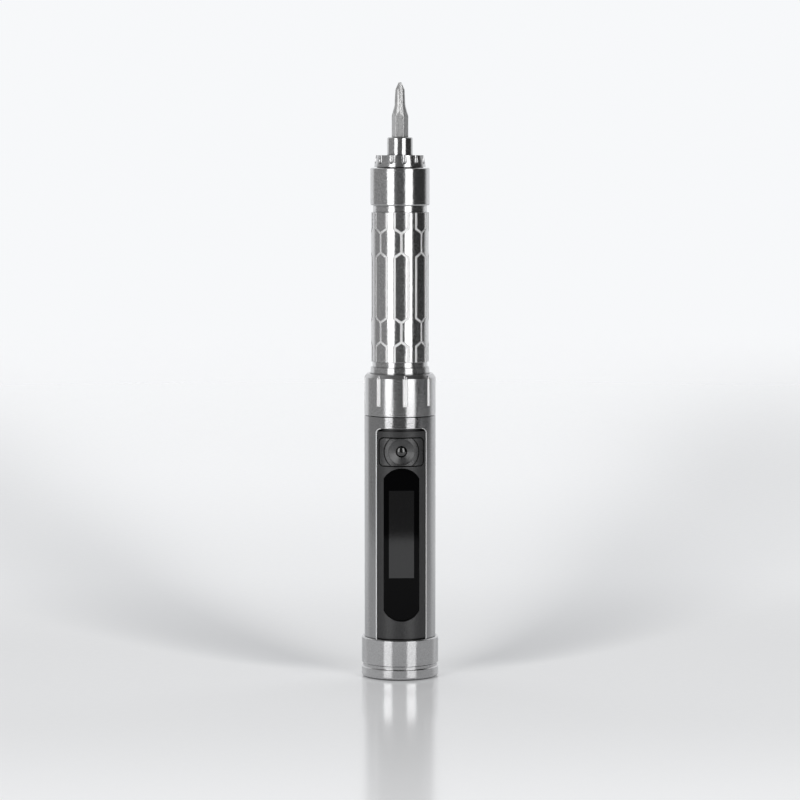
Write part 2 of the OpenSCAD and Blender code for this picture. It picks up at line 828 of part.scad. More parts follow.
module button_bead() {
    rise = bead_curve_r - sqrt(bead_curve_r * bead_curve_r - bead_r * bead_r);
    color("black") translate([0, 0, button_z]) rotate([90, 0, 0]) intersection() {
        translate([0, 0, bead_seat]) cylinder(r = bead_r, h = 2);
        translate([0, 0, dish_floor + rise - bead_curve_r]) sphere(bead_curve_r);
    }
}

// ---- Coupling nut and grip ----

// A solid round bar whose upper outer edge is rounded.
module rounded_disc(r, z0, z1, edge) {
    disc(r, z0, z1 - edge);
    disc(r - edge, z1 - edge, z1);
    translate([0, 0, z1 - edge]) rotate_extrude() translate([r - edge, 0]) intersection() {
        circle(edge);
        square(edge);
    }
}

module coupling_nut() {
    mouth_r = pilot_r + loose;
    color("silver") difference() {
        union() {
            disc(nut_r, nut_z + nut_seam, nut_top - nut_chamfer_h);
            translate([0, 0, nut_top - nut_chamfer_h])
                cylinder(r1 = nut_r, r2 = nut_r - nut_chamfer_w, h = nut_chamfer_h);
        }
        disc(neck_thread_r + thread_play, nut_z, lip_z);
        disc(mouth_r, lip_z - over, nut_top + over);
        translate([0, 0, nut_top - nut_countersink])
            cylinder(r1 = mouth_r, r2 = mouth_r + nut_countersink + 0.01, h = nut_countersink + 0.01);
        for (i = [0 : slot_count - 1]) rotate(nut_clock + i * 360 / slot_count)
            translate([0, -nut_r + slot_d - slot_r, nut_top - slot_len]) cylinder(r = slot_r, h = nut_len);
    }
}

// A split ring in a groove of the grip's pilot. The nut's lip pulls on it.
module grip_retainer() {
    color("gray") difference() {
        disc(retainer_r, neck_top, lip_z, pilot_r - retainer_groove);
        translate([-retainer_slit / 2, 0, neck_top - over])
            cube([retainer_slit, nut_r, retainer_t + 2 * over]);
    }
}

// One hexagon of the engraved chain, drawn flat, with its sides between two heights.
function hexagon(low, high, grow) =
    let (
        half = grip_r * sin(cell_half_angle),
        slope = grow * sqrt(1 + pow(cell_end / half, 2)),
        x = half + grow,
        rise = slope - cell_end * grow / half,
        tip = cell_end + slope
    ) [
        [x, low - rise], [x, high + rise], [0, high + tip],
        [-x, high + rise], [-x, low - rise], [0, low - tip]
    ];

module hexagon_line(low, high) {
    difference() {
        polygon(hexagon(low, high, engrave_w / 2));
        polygon(hexagon(low, high, -engrave_w / 2));
    }
}

// A chain: half a hexagon, a link, a whole hexagon, a link and half a hexagon.
module hexagon_chain() {
    middle = (grip_z + waist_z) / 2;
    low = middle - cell_side / 2;
    high = middle + cell_side / 2;
    step = 2 * cell_end + cell_link;
    intersection() {
        translate([-grip_r, grip_z - over]) square([2 * grip_r, grip_len + 2 * over]);
        union() {
            hexagon_line(low, high);
            hexagon_line(high + step, waist_z + 5);
            hexagon_line(grip_z - 5, low - step);
            for (z = [high + cell_end, low - cell_end - cell_link])
                translate([-engrave_w / 2, z]) square([engrave_w, cell_link]);
        }
    }
}

module grip_sleeve() {
    shoulder_z = motor_z;
    color("silver") difference() {
        union() {
            disc(pilot_r, pilot_z, neck_z);
            disc(grip_neck_r, neck_z, grip_z);
            disc(grip_r, grip_z, waist_z);
        }
        disc(grip_bore_r, shoulder_z, waist_z + over);
        disc(throat_r, pilot_z - over, shoulder_z + over);
        disc(pilot_r + over, neck_top - 0.02, lip_z + 0.02, pilot_r - retainer_groove - 0.02);
        for (i = [0 : cell_count - 1]) rotate(i * 360 / cell_count) intersection() {
            disc(grip_r + over, grip_z - 2 * over, waist_z + 2 * over, grip_r - engrave_d);
            front_block(grip_r / 2, grip_r + over) hexagon_chain();
        }
    }
}

// ---- Motor ----

module motor_can() {
    color("silver") difference() {
        union() {
            disc(motor_r, motor_z + end_cap_t, motor_top);
            disc(boss_r, motor_top - over, motor_top + boss_h);
        }
        disc(motor_r - motor_wall, motor_z, motor_top - motor_face);
        disc(motor_bush_r, motor_z, motor_top + 2 * boss_h);
        for (x = [-motor_screw_x, motor_screw_x])
            translate([x, 0, 0]) disc(motor_screw_r, motor_z, motor_top + over);
    }
}

module motor_magnet() {
    color("gray") disc(winding_r - winding_wall - winding_gap, winding_z + winding_floor + winding_gap,
        motor_top - motor_face, motor_bush_r);
}

module motor_bushes() {
    z = winding_z + winding_floor + winding_gap;
    color("goldenrod") {
        disc(motor_bush_r, motor_top - 1.2, motor_top + boss_h, motor_shaft_r + running);
        disc(motor_bush_r, z, z + 2, motor_shaft_r + running);
    }
}

module motor_shaft() {
    color("lightgray") disc(motor_shaft_r, motor_z + 1.2, planets_1);
}

// The ironless winding with its commutator.
module motor_winding() {
    color("peru") {
        disc(winding_r, winding_z, motor_top - motor_face - 0.5, winding_r - winding_wall);
        disc(winding_r - winding_wall, winding_z, winding_z + winding_floor, motor_shaft_r);
        disc(motor_bush_r, winding_z - commutator_len, winding_z, motor_shaft_r);
    }
}

module motor_pinion() {
    color("goldenrod") difference() {
        translate([0, 0, planets_1 - face_1]) spur_gear(sun_teeth, face_1);
        disc(motor_shaft_r, gearbox_z, plate_1);
    }
}

module motor_end_cap() {
    color("black") difference() {
        union() {
            disc(motor_r, motor_z, motor_z + end_cap_t);
            disc(motor_r - motor_wall, motor_z + end_cap_t, motor_z + end_cap_t + 1);
        }
        disc(motor_bush_r + loose, motor_z + 0.8, winding_z);
        for (side = [-1, 1])
            translate([side * brush_x - brush_t, -brush_w / 2 - loose, motor_z - over])
                cube([2 * brush_t, brush_w + 2 * loose, winding_z - motor_z]);
    }
}

module motor_brushes() {
    pad_h = 0.8;
    pad_x = motor_bush_r + running;
    color("goldenrod") for (side = [0, 1]) mirror([side, 0, 0]) {
        translate([brush_x - brush_t / 2, -brush_w / 2, motor_z - terminal_len])
            cube([brush_t, brush_w, winding_z - motor_z + terminal_len - 2 * loose]);
        translate([pad_x, -brush_w / 2, winding_z - 2 * pad_h]) cube([brush_x - pad_x, brush_w, pad_h]);
    }
}

// Two leads run from the motor down to the head of the circuit board.
module motor_leads() {
    top = motor_z - 0.2;
    color("firebrick") for (x = [-lead_x, lead_x]) translate([x, 0, 0]) {
        disc(lead_r, lead_z + lead_bend, top);
        translate([0, -lead_bend, lead_z + lead_bend]) rotate([0, 90, 0])
            rotate_extrude(angle = 90) translate([lead_bend, 0]) circle(lead_r);
        translate([0, -lead_bend, lead_z]) rotate([90, 0, 0])
            cylinder(r = lead_r, h = board_back - lead_bend);
    }
}

module motor_plate() {
    color("goldenrod") difference() {
        disc(grip_bore_r - loose, motor_top, gearbox_z);
        disc(boss_r + 0.02, motor_top - over, motor_top + boss_h);
        disc(motor_bush_r + 2 * loose, motor_top - over, gearbox_z + over);
        for (x = [-motor_screw_x, motor_screw_x]) translate([x, 0, 0]) {
            disc(motor_screw_r, motor_top - over, gearbox_z + over);
            disc(motor_head_r + thread_play, gearbox_z - motor_head_t, gearbox_z + over);
        }
    }
}

module motor_screws() {
    slit_w = 0.3;
    color("lightgray") for (x = [-motor_screw_x, motor_screw_x]) translate([x, 0, 0]) difference() {
        union() {
            disc(motor_screw_r, motor_top - motor_face, gearbox_z - motor_head_t);
            disc(motor_head_r, gearbox_z - motor_head_t, gearbox_z);
        }
        translate([-2 * motor_head_r, -slit_w / 2, gearbox_z - slit_w])
            cube([4 * motor_head_r, slit_w, over]);
    }
}

// ---- Gearbox ----

// A steel sleeve with the internal teeth that all three stages roll in.
module ring_gear() {
    pitch_r = gear_module * ring_teeth / 2;
    root = pitch_r + 1.25 * gear_module;
    tip = pitch_r - 0.85 * gear_module;
    color("gray") translate([0, 0, gearbox_z]) linear_extrude(gearbox_top - gearbox_z) difference() {
        circle(grip_bore_r - loose);
        rotate(180 / ring_teeth) polygon(gear_points(ring_teeth, root, tip, -backlash / 2));
    }
}

module planet(stage, number) {
    top = planet_tops[stage];
    face = faces[stage];
    color("lightgray") rotate(planet_angles[number]) translate([orbit_r, 0, 0]) difference() {
        translate([0, 0, top - face]) rotate(180 / planet_teeth) spur_gear(planet_teeth, face);
        disc(pin_r + running, top - face - over, top + over);
    }
}

module stage1_planet_a() { planet(0, 0); }
module stage1_planet_b() { planet(0, 1); }
module stage1_planet_c() { planet(0, 2); }
module stage2_planet_a() { planet(1, 0); }
module stage2_planet_b() { planet(1, 1); }
module stage2_planet_c() { planet(1, 2); }
module stage3_planet_a() { planet(2, 0); }
module stage3_planet_b() { planet(2, 1); }
module stage3_planet_c() { planet(2, 2); }

module at_pins() {
    for (angle = planet_angles) rotate(angle) translate([orbit_r, 0, 0]) children();
}

module pins(stage) {
    color("silver") at_pins() disc(pin_r, planet_tops[stage] - faces[stage], plate_tops[stage]);
}

module stage1_pins() { pins(0); }
module stage2_pins() { pins(1); }
module output_pins() { pins(2); }

module carrier_plate(stage) {
    difference() {
        disc(carrier_r, plate_tops[stage] - plate_t, plate_tops[stage]);
        at_pins() disc(pin_r, plate_tops[stage] - 2 * plate_t, plate_tops[stage] + over);
    }
}

// A carrier that has the next stage's sun gear on its upper side.
module sun_carrier(stage) {
    top = planet_tops[stage + 1];
    color("darkgray") {
        carrier_plate(stage);
        translate([0, 0, plate_tops[stage]]) spur_gear(sun_teeth, top - plate_tops[stage]);
    }
}

module stage1_carrier() { sun_carrier(0); }
module stage2_carrier() { sun_carrier(1); }

module output_carrier() {
    color("darkgray") difference() {
        union() {
            carrier_plate(2);
            disc(hub_r, plate_3, plate_3 + hub_len);
        }
        hex_bar(tail_flats + 2 * running, plate_3 - plate_t / 2, plate_3 + 2 * hub_len);
    }
}

// ---- Front barrel and spindle ----

module spindle_bush() {
    bush_z = plate_3 + hub_len + hub_top_gap;
    color("goldenrod") difference() {
        union() {
            disc(bush_r, bush_z, flange_top - flange_t);
            disc(bearing_r - bearing_ledge - flange_gap, flange_top - flange_t, flange_top);
        }
        disc(journal_r + running, gearbox_top, flange_top + over);
    }
}

module bearing_races() {
    translate([0, 0, bearing_z + bearing_w / 2]) rotate_extrude()
        translate([ball_orbit_r, 0]) circle(ball_r + race_play);
}

module bearing_outer() {
    color("silver") difference() {
        disc(bearing_r, bearing_z, bearing_top, ball_orbit_r + ball_r * 0.6);
        bearing_races();
    }
}

module bearing_inner() {
    color("silver") difference() {
        disc(ball_orbit_r - ball_r * 0.6, bearing_z, bearing_top, bearing_bore_r);
        bearing_races();
    }
}

module at_balls() {
    for (i = [0 : ball_count - 1]) rotate(i * 360 / ball_count)
        translate([ball_orbit_r, 0, bearing_z + bearing_w / 2]) children();
}

module bearing_balls() {
    color("lightgray") at_balls() sphere(ball_r);
}

module bearing_cage() {
    middle = bearing_z + bearing_w / 2;
    color("goldenrod") difference() {
        disc(ball_orbit_r + cage_half_t, middle - cage_half_h, middle + cage_half_h,
            ball_orbit_r - cage_half_t);
        at_balls() sphere(ball_r + running);
    }
}

module front_barrel() {
    cavity_z = flange_top - flange_t;
    color("silver") difference() {
        union() {
            bevelled_disc(barrel_r, barrel_z, collar_z, barrel_chamfer);
            disc(waist_r, waist_z, barrel_z);
            disc(grip_bore_r - thread_play, gearbox_top, waist_z);
        }
        disc(bush_r, gearbox_top - over, cavity_z + over);
        disc(bearing_r - bearing_ledge, cavity_z, bearing_z + over);
        disc(bearing_r, bearing_z, bearing_top + over);
        disc(bearing_r + nose_thread_step, bearing_top, collar_z + over);
    }
}

module nose_nut() {
    notch_z = collar_z + collar_band;
    color("silver") difference() {
        union() {
            disc(bearing_r + nose_thread_step - thread_play, bearing_top, collar_z);
            disc(bearing_r, collar_z - over, collar_z + nose_seam + over);
            translate([0, 0, collar_z + nose_seam])
                cylinder(r1 = collar_base_r, r2 = collar_top_r, h = collar_h - nose_seam);
        }
        disc(ball_orbit_r + ball_r * 0.6, bearing_top - over, bearing_top + 2 * thread_play + 0.3);
        disc(nose_r + running, bearing_top - over, nose_z + over);
        for (i = [0 : notch_count - 1]) rotate(notch_clock + i * 360 / notch_count)
            translate([0, -collar_top_r + notch_d - notch_r, notch_z + notch_r]) {
                cylinder(r = notch_r, h = collar_h);
                sphere(notch_r);
            }
    }
}

module bit_holder() {
    hex_flats = bit_flats + 2 * socket_play;
    shoulder_z = bearing_z - shoulder_t;
    journal_z = plate_3 + hub_len + hub_top_gap / 2;
    color("silver") difference() {
        union() {
            disc(nose_r, bearing_z, nose_top - nose_chamfer);
            translate([0, 0, nose_top - nose_chamfer])
                cylinder(r1 = nose_r, r2 = nose_r - nose_chamfer, h = nose_chamfer);
            disc(shoulder_r, shoulder_z, bearing_z);
            disc(journal_r, journal_z, shoulder_z);
            hex_bar(tail_flats, plate_3 - plate_t / 2 + loose, journal_z);
        }
        rotate(spindle_clock) hex_bar(hex_flats, bit_z - 0.05, nose_top + over);
        disc(magnet_r, bit_z - magnet_t, bit_z);
    }
}

module bit_magnet() {
    color("gray") disc(magnet_r, bit_z - magnet_t, bit_z - 0.1);
}

module bit() {
    top = bit_z + bit_len;
    hex_top = top - bit_reach;
    neck_z0 = top - bit_neck_len;
    cone_z = top - bit_cone_len;
    corner_r = bit_flats / sqrt(3);
    flute_tilt = atan((bit_neck_r - flute_edge) / bit_neck_len);
    color("dimgray") rotate(spindle_clock) difference() {
        union() {
            intersection() {
                hex_bar(bit_flats, bit_z, neck_z0);
                union() {
                    translate([0, 0, bit_z])
                        cylinder(r1 = corner_r - bit_bevel, r2 = corner_r, h = bit_bevel);
                    disc(corner_r + bit_bevel / 4, bit_z + bit_bevel, hex_top);
                    translate([0, 0, hex_top])
                        cylinder(r1 = corner_r + bit_bevel / 4, r2 = bit_neck_r, h = neck_z0 - hex_top);
                }
            }
            disc(bit_neck_r, neck_z0 - bit_bevel, neck_z0);
            translate([0, 0, neck_z0]) cylinder(r1 = bit_neck_r, r2 = bit_tip_r, h = cone_z - neck_z0);
            translate([0, 0, cone_z]) cylinder(r1 = bit_tip_r, r2 = bit_end_r, h = bit_cone_len);
        }
        // the four flutes of the cross
        for (i = [0 : 3]) rotate(flute_clock + 90 * i) translate([0, -flute_edge - flute_r, top])
            rotate([-flute_tilt, 0, 0]) translate([0, 0, -2 * bit_neck_len])
                cylinder(r = flute_r, h = 3 * bit_neck_len);
    }
}

tail_cap();
usb_shell();
usb_tongue();
usb_board();
body_tube();
chassis();
battery_cell();
battery_tabs();
circuit_board();
board_chips();
board_screws();
switch_body();
switch_plunger();
display_module();
display_ribbon();
lens();
fascia();
button_cap();
button_bead();
coupling_nut();
grip_retainer();
grip_sleeve();
motor_can();
motor_magnet();
motor_bushes();
motor_end_cap();
motor_brushes();
motor_leads();
motor_shaft();
motor_winding();
motor_pinion();
motor_plate();
motor_screws();
ring_gear();
stage1_planet_a();
stage1_planet_b();
stage1_planet_c();
stage1_carrier();
stage1_pins();
stage2_planet_a();
stage2_planet_b();
stage2_planet_c();
stage2_carrier();
stage2_pins();
stage3_planet_a();
stage3_planet_b();
stage3_planet_c();
output_carrier();
output_pins();
spindle_bush();
bearing_outer();
bearing_inner();
bearing_balls();
bearing_cage();
front_barrel();
nose_nut();
bit_holder();
bit_magnet();
bit();
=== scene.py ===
import math

import bpy
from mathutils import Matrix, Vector
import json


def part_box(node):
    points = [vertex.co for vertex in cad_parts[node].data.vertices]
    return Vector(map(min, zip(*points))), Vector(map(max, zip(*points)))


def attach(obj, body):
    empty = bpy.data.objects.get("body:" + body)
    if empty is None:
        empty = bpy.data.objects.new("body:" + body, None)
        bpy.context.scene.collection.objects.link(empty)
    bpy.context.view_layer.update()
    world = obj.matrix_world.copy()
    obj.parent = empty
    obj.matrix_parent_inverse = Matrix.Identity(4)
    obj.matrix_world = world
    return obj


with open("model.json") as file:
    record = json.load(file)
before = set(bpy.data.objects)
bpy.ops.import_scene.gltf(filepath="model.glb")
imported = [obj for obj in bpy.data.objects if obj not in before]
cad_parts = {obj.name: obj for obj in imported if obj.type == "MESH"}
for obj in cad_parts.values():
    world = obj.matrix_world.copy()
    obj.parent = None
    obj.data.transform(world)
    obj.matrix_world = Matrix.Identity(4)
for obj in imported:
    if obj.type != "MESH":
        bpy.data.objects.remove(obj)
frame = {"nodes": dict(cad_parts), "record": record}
nodes = frame["nodes"]
scene = bpy.context.scene
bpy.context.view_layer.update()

# ---------------------------------------------------------------- camera
# the camera's place round the tool, from straight in front towards the picture's right
AZ = math.radians(-2.8)
DIST, HEIGHT, PITCH = 0.881, 0.1484, math.radians(4.574)
SENSOR, LENS = 36, 141.75
CLIP_NEAR, CLIP_FAR = 0.01, 20


def around(angle, dist, height):
    """A point round the tool from the camera, by an angle in degrees towards the picture's right."""
    turn = AZ + math.radians(angle)
    return Vector((math.sin(turn) * dist, -math.cos(turn) * dist, height))


def place_camera():
    data = bpy.data.cameras.new("camera")
    camera = bpy.data.objects.new("camera", data)
    scene.collection.objects.link(camera)
    camera.location = around(0, DIST, HEIGHT)
    camera.rotation_euler = (math.pi / 2 - PITCH, 0, AZ)
    data.sensor_width = SENSOR
    data.lens = LENS
    data.clip_start = CLIP_NEAR
    data.clip_end = CLIP_FAR
    scene.camera = camera


place_camera()
scene.view_settings.view_transform = "Standard"


# ---------------------------------------------------------------- node helpers
def new_material(name):
    mat = bpy.data.materials.new(name)
    mat.use_nodes = True
    tree = mat.node_tree
    return mat, tree, tree.nodes["Principled BSDF"]


def link(tree, source, socket):
    tree.links.new(source, socket)


def put(tree, value, socket):
    """Set a socket to a number or a colour, or link it to another node's output."""
    if isinstance(value, (int, float, tuple)):
        socket.default_value = value
    else:
        link(tree, value, socket)


def add(tree, kind, **inputs):
    """A new node with the named inputs set."""
    node = tree.nodes.new(kind)
    for name, value in inputs.items():
        node.inputs[name].default_value = value
    return node


def math_node(tree, operation, first, second=None):
    """The result of one sum; each term is a number or another node's output."""
    node = add(tree, "ShaderNodeMath")
    node.operation = operation
    put(tree, first, node.inputs[0])
    if second is not None:
        put(tree, second, node.inputs[1])
    return node.outputs[0]


def product(tree, result, *factors):
    """The first term times each of the others."""
    for factor in factors:
        result = math_node(tree, "MULTIPLY", result, factor)
    return result


def less(tree, whole, part):
    """The whole without the part."""
    return math_node(tree, "SUBTRACT", whole, part)


def squared(tree, across, along):
    """The square of a point's distance from the middle, from its two coordinates."""
    return math_node(tree, "ADD", math_node(tree, "POWER", across, 2.0), math_node(tree, "POWER", along, 2.0))


def axes(tree, vector):
    """The three parts of a vector."""
    apart = add(tree, "ShaderNodeSeparateXYZ")
    link(tree, vector, apart.inputs["Vector"])
    return apart.outputs


def own_place(tree):
    """The shaded point in the piece's own coordinates."""
    return add(tree, "ShaderNodeTexCoord").outputs["Object"]


def noise(tree, scale, detail, stretch=(1, 1, 1)):
    """Noise in the piece's own coordinates; scale is per metre."""
    mapping = add(tree, "ShaderNodeMapping", Scale=stretch)
    link(tree, own_place(tree), mapping.inputs["Vector"])
    node = add(tree, "ShaderNodeTexNoise", Scale=scale, Detail=detail)
    link(tree, mapping.outputs["Vector"], node.inputs["Vector"])
    return node.outputs["Fac"]


def ramp(tree, value, low, high, start=0.3, stop=0.7):
    """Go straight from low to high as the value goes from start to stop."""
    node = add(tree, "ShaderNodeMapRange")
    for name, limit in (("From Min", start), ("From Max", stop), ("To Min", low), ("To Max", high)):
        node.inputs[name].default_value = limit
    link(tree, value, node.inputs["Value"])
    return node.outputs["Result"]


def smooth(tree, value, start, stop):
    """Go softly from 0 to 1 as the value goes from start to stop."""
    result = ramp(tree, value, 0.0, 1.0, start, stop)
    result.node.interpolation_type = "SMOOTHSTEP"
    return result


def blended(tree, fac, first, second, how="MIX"):
    """One colour, changed to another by fac."""
    node = add(tree, "ShaderNodeMix")
    node.data_type = "RGBA"
    node.blend_type = how
    put(tree, fac, node.inputs[0])
    put(tree, first, node.inputs[6])
    put(tree, second, node.inputs[7])
    return node.outputs[2]


def masked(tree, fac, socket, value):
    """Change a socket that has a link to one set colour or number, by fac."""
    before = socket.links[0].from_socket
    if isinstance(value, tuple):
        link(tree, blended(tree, fac, before, value), socket)
        return
    node = add(tree, "ShaderNodeMix")
    put(tree, fac, node.inputs[0])
    put(tree, before, node.inputs[2])
    put(tree, value, node.inputs[3])
    link(tree, node.outputs[0], socket)


# ---------------------------------------------------------------- materials
# the last number on each of the next two lines is how dark the painted shade in grooves and seams gets
METAL_DETAIL, METAL_ROUGH_SPREAD, METAL_GROOVE_SHADE = 3, 0.25, 0.12
PLASTIC_DETAIL, PLASTIC_ROUGH_SPREAD, PLASTIC_GROOVE_SHADE = 2, 0.1, 0.1
RING_SCALE, RING_DETAIL = (1, 1, 14000), 4
SATIN_GRAIN, SATIN_BLUE = 2700, 0.005
COAT_ROUGH, SAMPLES = 0.03, 6
# how open a place is where the painted shade in it is darkest, and where there is none
GROOVE = (0.25, 0.85)
CUT_COLOUR, CUT_ROUGH = (1.0, 1.0, 1.0, 1), 0.55
# the painted shade round the rim of the button's bead: its colour, and where it starts and where it is full
RIM_SHADE_COLOUR, RIM_START, RIM_STOP = (0.012, 0.012, 0.012, 1), 0.72, 0.9


def tint(tree, fac, colour, spread):
    """The colour, made a little darker and lighter by fac."""
    dark = tuple(c * (1 - spread) for c in colour) + (1,)
    light = tuple(min(1, c * (1 + spread)) for c in colour) + (1,)
    return blended(tree, fac, dark, light)


def shaded(tree, colour, reach, dark):
    """The colour, darkened in the narrow grooves and seams as painted shade."""
    open_share = add(tree, "ShaderNodeAmbientOcclusion", Distance=reach)
    open_share.samples = SAMPLES
    return blended(tree, 1.0, colour, ramp(tree, open_share.outputs["AO"], dark, 1.0, *GROOVE), "MULTIPLY")


def bumped(tree, bsdf, height, depth, edge):
    """Fine relief, and edges that look rounded by the radius edge."""
    bump = add(tree, "ShaderNodeBump", Strength=1.0, Distance=depth)
    link(tree, height, bump.inputs["Height"])
    if edge:
        bevel = add(tree, "ShaderNodeBevel", Radius=edge)
        bevel.samples = SAMPLES
        link(tree, bevel.outputs["Normal"], bump.inputs["Normal"])
    link(tree, bump.outputs["Normal"], bsdf.inputs["Normal"])


def surface(tree, bsdf, fine, colour, spread, rough, rough_spread):
    """Colour and roughness that both vary a little with the fine grain."""
    link(tree, tint(tree, fine, colour, spread), bsdf.inputs["Base Color"])
    uneven = ramp(tree, fine, rough * (1 - rough_spread), rough * (1 + rough_spread))
    link(tree, uneven, bsdf.inputs["Roughness"])


def paint_groove_shade(tree, bsdf, reach, dark):
    """Paint shade into the grooves of a material whose colour is already made; no reach leaves it without
    painted shade.
    """
    if reach:
        base = bsdf.inputs["Base Color"]
        link(tree, shaded(tree, base.links[0].from_socket, reach, dark), base)


def metal(name, colour, rough, grain, depth, turned=0.0, spread=0.06, edge=0.00012, groove_shade=0.0):
    """Bare metal with a fine grain, and turned lines round the axis where asked."""
    mat, tree, bsdf = new_material(name)
    bsdf.inputs["Metallic"].default_value = 1
    fine = noise(tree, grain, METAL_DETAIL)
    surface(tree, bsdf, fine, colour, spread, rough, METAL_ROUGH_SPREAD)
    paint_groove_shade(tree, bsdf, groove_shade, METAL_GROOVE_SHADE)
    height = fine
    if turned:
        rings = noise(tree, 1, RING_DETAIL, RING_SCALE)
        height = math_node(tree, "ADD", product(tree, rings, turned), fine)
    bumped(tree, bsdf, height, depth, edge)
    return mat


def plastic(name, colour, rough, grain=3500, depth=0.00002, spread=0.08, coat=0.0, edge=0.0001, ior=1.5,
            groove_shade=0.0):
    """Plastic, varnish or glass with a fine grain, and a clear coat where asked."""
    mat, tree, bsdf = new_material(name)
    bsdf.inputs["IOR"].default_value = ior
    fine = noise(tree, grain, PLASTIC_DETAIL)
    surface(tree, bsdf, fine, colour, spread, rough, PLASTIC_ROUGH_SPREAD)
    paint_groove_shade(tree, bsdf, groove_shade, PLASTIC_GROOVE_SHADE)
    bsdf.inputs["Coat Weight"].default_value = coat
    bsdf.inputs["Coat Roughness"].default_value = COAT_ROUGH
    bumped(tree, bsdf, fine, depth, edge)
    return mat


def satin(name, grey, rough, depth, turned, spread, edge, groove_shade):
    """The tool's outer metal: a neutral grey, very slightly blue."""
    colour = (grey, grey, grey + SATIN_BLUE)
    return metal(name, colour, rough, SATIN_GRAIN, depth, turned, spread, edge, groove_shade)


# where a look is given a reach for its grooves, painted shade darkens its grooves and seams that far
MATERIALS = {
    "turned": satin("turned", 0.57, 0.16, 0.00001, turned=0.2, spread=0.5, edge=0.00012, groove_shade=0.0008),
    "grip": satin("grip", 0.57, 0.15, 0.00001, turned=0.2, spread=0.5, edge=0.00014, groove_shade=0.0012),
    "tube": satin("tube", 0.42, 0.14, 0.000008, turned=0.1, spread=0.3, edge=0.00015, groove_shade=0.0005),
    "cap": satin("cap", 0.53, 0.13, 0.00001, turned=0.2, spread=0.35, edge=0.0001, groove_shade=0.0008),
    "nut": satin("nut", 0.55, 0.19, 0.00001, turned=0.2, spread=0.35, edge=0.0001, groove_shade=0.0008),
    "cut": metal("cut", (0.98, 0.98, 0.98), 0.5, grain=4000, depth=0.000003),
    "button": metal("button", (0.095, 0.095, 0.096), 0.34, grain=2600, depth=0.00002, spread=0.4,
                    groove_shade=0.0009),
    "steel": metal("steel", (0.50, 0.50, 0.51), 0.24, grain=4000, depth=0.000003),
    "bit": metal("bit", (0.64, 0.64, 0.64), 0.42, grain=3000, depth=0.000004, edge=0.00035, groove_shade=0.0006),
    "nickel": metal("nickel", (0.70, 0.69, 0.66), 0.15, grain=4000, depth=0.000001),
    "bronze": metal("bronze", (0.62, 0.44, 0.20), 0.28, grain=4000, depth=0.000003),
    "copper": metal("copper", (0.70, 0.30, 0.16), 0.32, grain=6000, depth=0.00001),
    "magnet": metal("magnet", (0.33, 0.33, 0.35), 0.35, grain=3000, depth=0.000004),
    "bead": metal("bead", (0.10, 0.10, 0.10), 0.06, grain=900, depth=0.0, edge=0.0),
    "panel": plastic("panel", (0.032, 0.032, 0.033), 0.36, grain=2600, depth=0.00004, spread=0.5,
                     groove_shade=0.0014),
    "lens": plastic("lens", (0.0012, 0.0012, 0.0014), 0.03, grain=900, depth=0.0, spread=0.2, edge=0.0,
                    ior=1.2),
    "screen": plastic("screen", (0.002, 0.002, 0.0024), 0.05, grain=900, depth=0.0, spread=0.2, edge=0.0,
                      ior=1.78),
    "display": plastic("display", (0.012, 0.012, 0.014), 0.2, grain=900, depth=0.0, spread=0.2, coat=0.5),
    "black": plastic("black", (0.015, 0.015, 0.015), 0.45),
    "board": plastic("board", (0.012, 0.10, 0.035), 0.35),
    "film": plastic("film", (0.30, 0.13, 0.03), 0.3),
    "wrap": plastic("wrap", (0.03, 0.11, 0.33), 0.25, coat=0.4),
    "sleeve": plastic("sleeve", (0.40, 0.02, 0.02), 0.5),
}


# depths below a round surface that count as cut, and how far the cut lines stay from their pieces' ends
GRIP_CUT, NUT_CUT = 0.00012, 0.00015
GRIP_SEARCH, GRIP_START, NUT_START, NUT_STOP = 0.02, 0.00002, 0.001, 0.0012
# radii this close are the same
NEAR_R, TUBE_NEAR_R = 0.00001, 0.00003


def engrave(mat, surface_r, depth, start, stop):
    """Bright, freshly cut metal at the bottom of the lines cut in a round piece, between two heights."""
    tree = mat.node_tree
    bsdf = tree.nodes["Principled BSDF"]
    place = axes(tree, own_place(tree))
    deep = math_node(tree, "LESS_THAN", squared(tree, place["X"], place["Y"]), (surface_r - depth) ** 2)
    above = math_node(tree, "GREATER_THAN", place["Z"], start)
    below = math_node(tree, "LESS_THAN", place["Z"], stop)
    cut = product(tree, deep, product(tree, above, below))
    masked(tree, cut, bsdf.inputs["Base Color"], CUT_COLOUR)
    masked(tree, cut, bsdf.inputs["Roughness"], CUT_ROUGH)


def engrave_grip():
    """The cut lines of the grip, from the lowest point of its widest stretch to the front barrel's top."""
    barrel_low, barrel_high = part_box("front_barrel")
    rings = [(math.hypot(v.co.x, v.co.y), v.co.z) for v in nodes["grip_sleeve"].data.vertices]
    widest = max(r for r, z in rings if z > barrel_low[2] - GRIP_SEARCH)
    lowest = min(z for r, z in rings if abs(r - widest) < NEAR_R)
    engrave(MATERIALS["grip"], widest, GRIP_CUT, lowest + GRIP_START, barrel_high[2])


def engrave_nut():
    """The cut lines of the coupling nut, away from its two end faces."""
    low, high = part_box("coupling_nut")
    engrave(MATERIALS["nut"], high[0], NUT_CUT, low[2] + NUT_START, high[2] - NUT_STOP)


def paint_bead_rim_shade():
    """Painted shade on the button's bead near the rim of its round face, which looks forward."""
    low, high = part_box("button_bead")
    mat = MATERIALS["bead"]
    tree = mat.node_tree
    offset = add(tree, "ShaderNodeVectorMath")
    offset.operation = "SUBTRACT"
    link(tree, own_place(tree), offset.inputs[0])
    offset.inputs[1].default_value = (low + high) / 2
    place = axes(tree, offset.outputs["Vector"])
    away = math_node(tree, "SQRT", squared(tree, place["X"], place["Z"]))
    rim_shade = ramp(tree, away, 0.0, 1.0, high[0] * RIM_START, high[0] * RIM_STOP)
    masked(tree, rim_shade, tree.nodes["Principled BSDF"].inputs["Base Color"], RIM_SHADE_COLOUR)


engrave_grip()
engrave_nut()
paint_bead_rim_shade()

